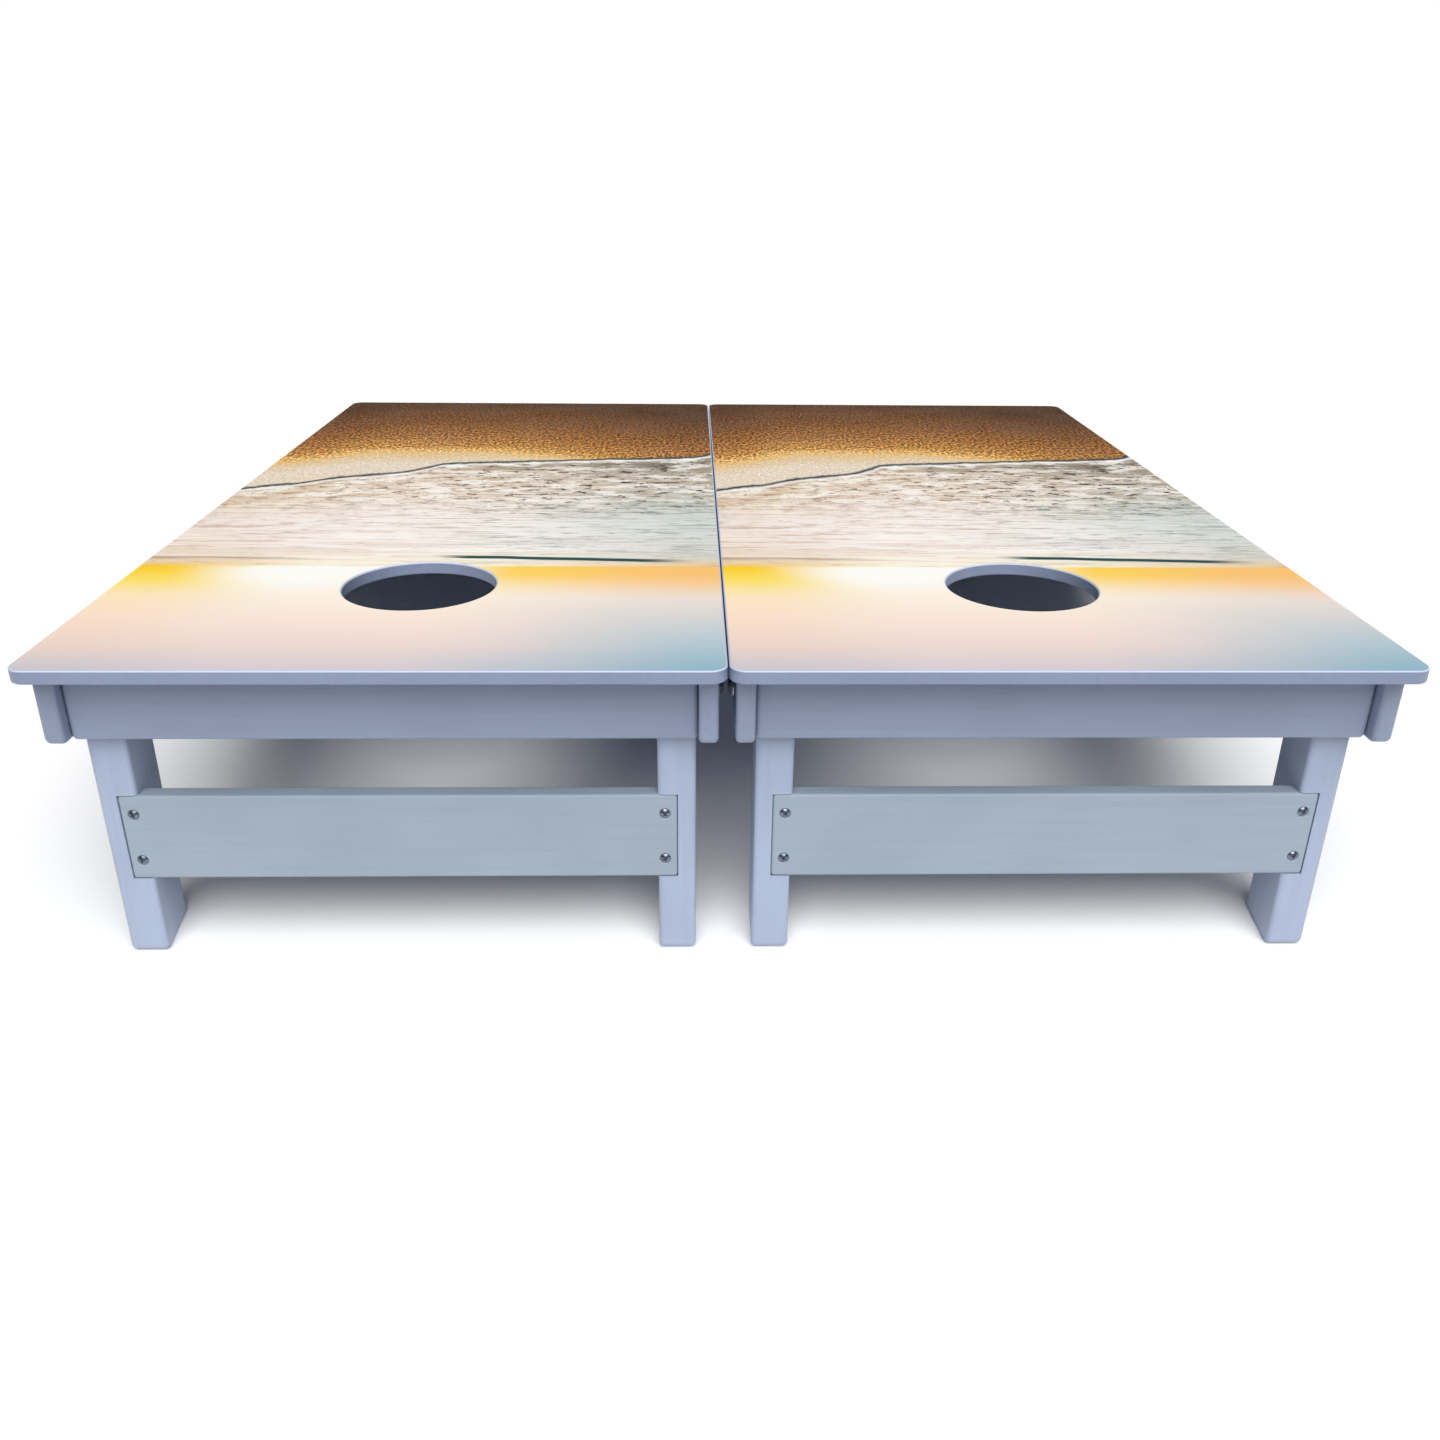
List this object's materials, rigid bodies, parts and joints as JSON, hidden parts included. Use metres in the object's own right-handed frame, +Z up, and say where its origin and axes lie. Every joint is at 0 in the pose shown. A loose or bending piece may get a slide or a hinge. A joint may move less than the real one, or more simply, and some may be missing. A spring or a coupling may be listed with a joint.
{
  "type": "bean bag toss board set",
  "caption": "Pair of painted timber toss boards side by side, each a sloping printed deck with a round hole, a rail frame and a fold-up leg set with a crossbar.",
  "frame": {"origin": "on the ground, in the middle of the pair's bounding box", "axes": "+Z up, +Y along the boards from the hole ends down to the low ends, +X across the pair from board_1 to board_2"},
  "size_m": [1.2202, 1.2018, 0.3285],
  "materials": {
    "deck_paint": "plywood with satin blue-grey paint on its edges and underside",
    "print": null,
    "frame_paint": "planed timber with satin blue-grey paint",
    "leg_paint": "planed timber with satin blue-grey paint",
    "zinc_screw": "bright zinc plate",
    "zinc_bolt": "bright zinc plate"
  },
  "bodies": {
    "board_1": {"board_1_back_rail": "frame_paint", "board_1_centre_brace": "frame_paint", "board_1_deck": "deck_paint", "board_1_front_rail": "frame_paint", "board_1_left_back_lower_frame_screw": "zinc_screw", "board_1_left_back_upper_frame_screw": "zinc_screw", "board_1_left_front_lower_frame_screw": "zinc_screw", "board_1_left_front_upper_frame_screw": "zinc_screw", "board_1_left_lock_nut": "zinc_bolt", "board_1_left_nut_washer": "zinc_bolt", "board_1_left_pivot_bolt": "zinc_bolt", "board_1_left_rail": "frame_paint", "board_1_left_spacer_washer": "zinc_bolt", "board_1_printed_sheet": "print", "board_1_right_back_lower_frame_screw": "zinc_screw", "board_1_right_back_upper_frame_screw": "zinc_screw", "board_1_right_front_lower_frame_screw": "zinc_screw", "board_1_right_front_upper_frame_screw": "zinc_screw", "board_1_right_lock_nut": "zinc_bolt", "board_1_right_nut_washer": "zinc_bolt", "board_1_right_pivot_bolt": "zinc_bolt", "board_1_right_rail": "frame_paint", "board_1_right_spacer_washer": "zinc_bolt"},
    "board_1_legs": {"board_1_crossbar": "leg_paint", "board_1_left_leg": "leg_paint", "board_1_left_lower_crossbar_screw": "zinc_screw", "board_1_left_upper_crossbar_screw": "zinc_screw", "board_1_right_leg": "leg_paint", "board_1_right_lower_crossbar_screw": "zinc_screw", "board_1_right_upper_crossbar_screw": "zinc_screw"},
    "board_2": {"board_2_back_rail": "frame_paint", "board_2_centre_brace": "frame_paint", "board_2_deck": "deck_paint", "board_2_front_rail": "frame_paint", "board_2_left_back_lower_frame_screw": "zinc_screw", "board_2_left_back_upper_frame_screw": "zinc_screw", "board_2_left_front_lower_frame_screw": "zinc_screw", "board_2_left_front_upper_frame_screw": "zinc_screw", "board_2_left_lock_nut": "zinc_bolt", "board_2_left_nut_washer": "zinc_bolt", "board_2_left_pivot_bolt": "zinc_bolt", "board_2_left_rail": "frame_paint", "board_2_left_spacer_washer": "zinc_bolt", "board_2_printed_sheet": "print", "board_2_right_back_lower_frame_screw": "zinc_screw", "board_2_right_back_upper_frame_screw": "zinc_screw", "board_2_right_front_lower_frame_screw": "zinc_screw", "board_2_right_front_upper_frame_screw": "zinc_screw", "board_2_right_lock_nut": "zinc_bolt", "board_2_right_nut_washer": "zinc_bolt", "board_2_right_pivot_bolt": "zinc_bolt", "board_2_right_rail": "frame_paint", "board_2_right_spacer_washer": "zinc_bolt"},
    "board_2_legs": {"board_2_crossbar": "leg_paint", "board_2_left_leg": "leg_paint", "board_2_left_lower_crossbar_screw": "zinc_screw", "board_2_left_upper_crossbar_screw": "zinc_screw", "board_2_right_leg": "leg_paint", "board_2_right_lower_crossbar_screw": "zinc_screw", "board_2_right_upper_crossbar_screw": "zinc_screw"}
  },
  "joints": [
    {"name": "board_1_leg_fold", "type": "hinge", "parent": "board_1", "child": "board_1_legs", "pos_m": [-0.3053, -0.51729, 0.26318], "axis": [1, 0, 0], "range_deg": [0, 90]},
    {"name": "board_2_leg_fold", "type": "hinge", "parent": "board_2", "child": "board_2_legs", "pos_m": [0.3053, -0.51729, 0.26318], "axis": [1, 0, 0], "range_deg": [0, 90]},
    {"name": "board_2_apart", "type": "slide", "parent": "board_1", "child": "board_2", "axis": [1, 0, 0], "range_m": [0, 0.3]}
  ]
}
